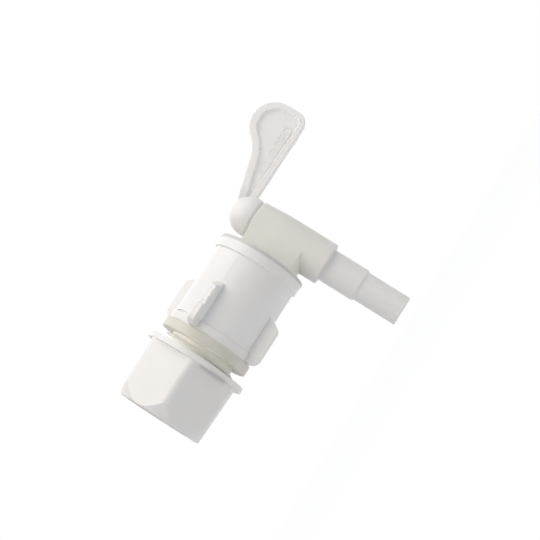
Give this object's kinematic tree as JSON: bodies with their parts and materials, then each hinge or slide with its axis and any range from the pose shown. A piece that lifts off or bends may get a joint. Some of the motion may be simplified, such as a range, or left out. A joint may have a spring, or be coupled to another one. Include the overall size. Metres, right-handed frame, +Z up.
{
  "type": "fermenter tap",
  "caption": "White plastic taper-plug tap with a paddle lever, stepped hose spout, winged collar and threaded shank, with a sealing washer and a flanged hexagon back nut.",
  "frame": {"origin": "on the shank's axis, in the sealing washer's face that meets the vessel's wall", "axes": "+Y along the shank into the vessel, +Z up the barrel from the spout to the lever, +X to the right as seen from in front of the vessel"},
  "size_m": [0.04, 0.1215, 0.0849],
  "materials": {
    "body_plastic": "satin moulded white",
    "spout_plastic": "satin moulded white",
    "lever_plastic": "satin moulded white",
    "washer_rubber": "dull cream",
    "nut_plastic": "satin moulded white"
  },
  "bodies": {
    "body": {"tap_body": "body_plastic", "sealing_washer": "washer_rubber"},
    "plug": {"plug_spout": "spout_plastic", "lever": "lever_plastic"},
    "nut": {"back_nut": "nut_plastic"}
  },
  "joints": [
    {"name": "lever_turn", "type": "hinge", "parent": "body", "child": "plug", "pos_m": [0, -0.0502, 0], "axis": [0, 0, 1], "range_deg": [-90, 90]},
    {"name": "back_nut_travel", "type": "slide", "parent": "body", "child": "nut", "axis": [0, 1, 0], "range_m": [-0.0036, 0.0108]}
  ]
}
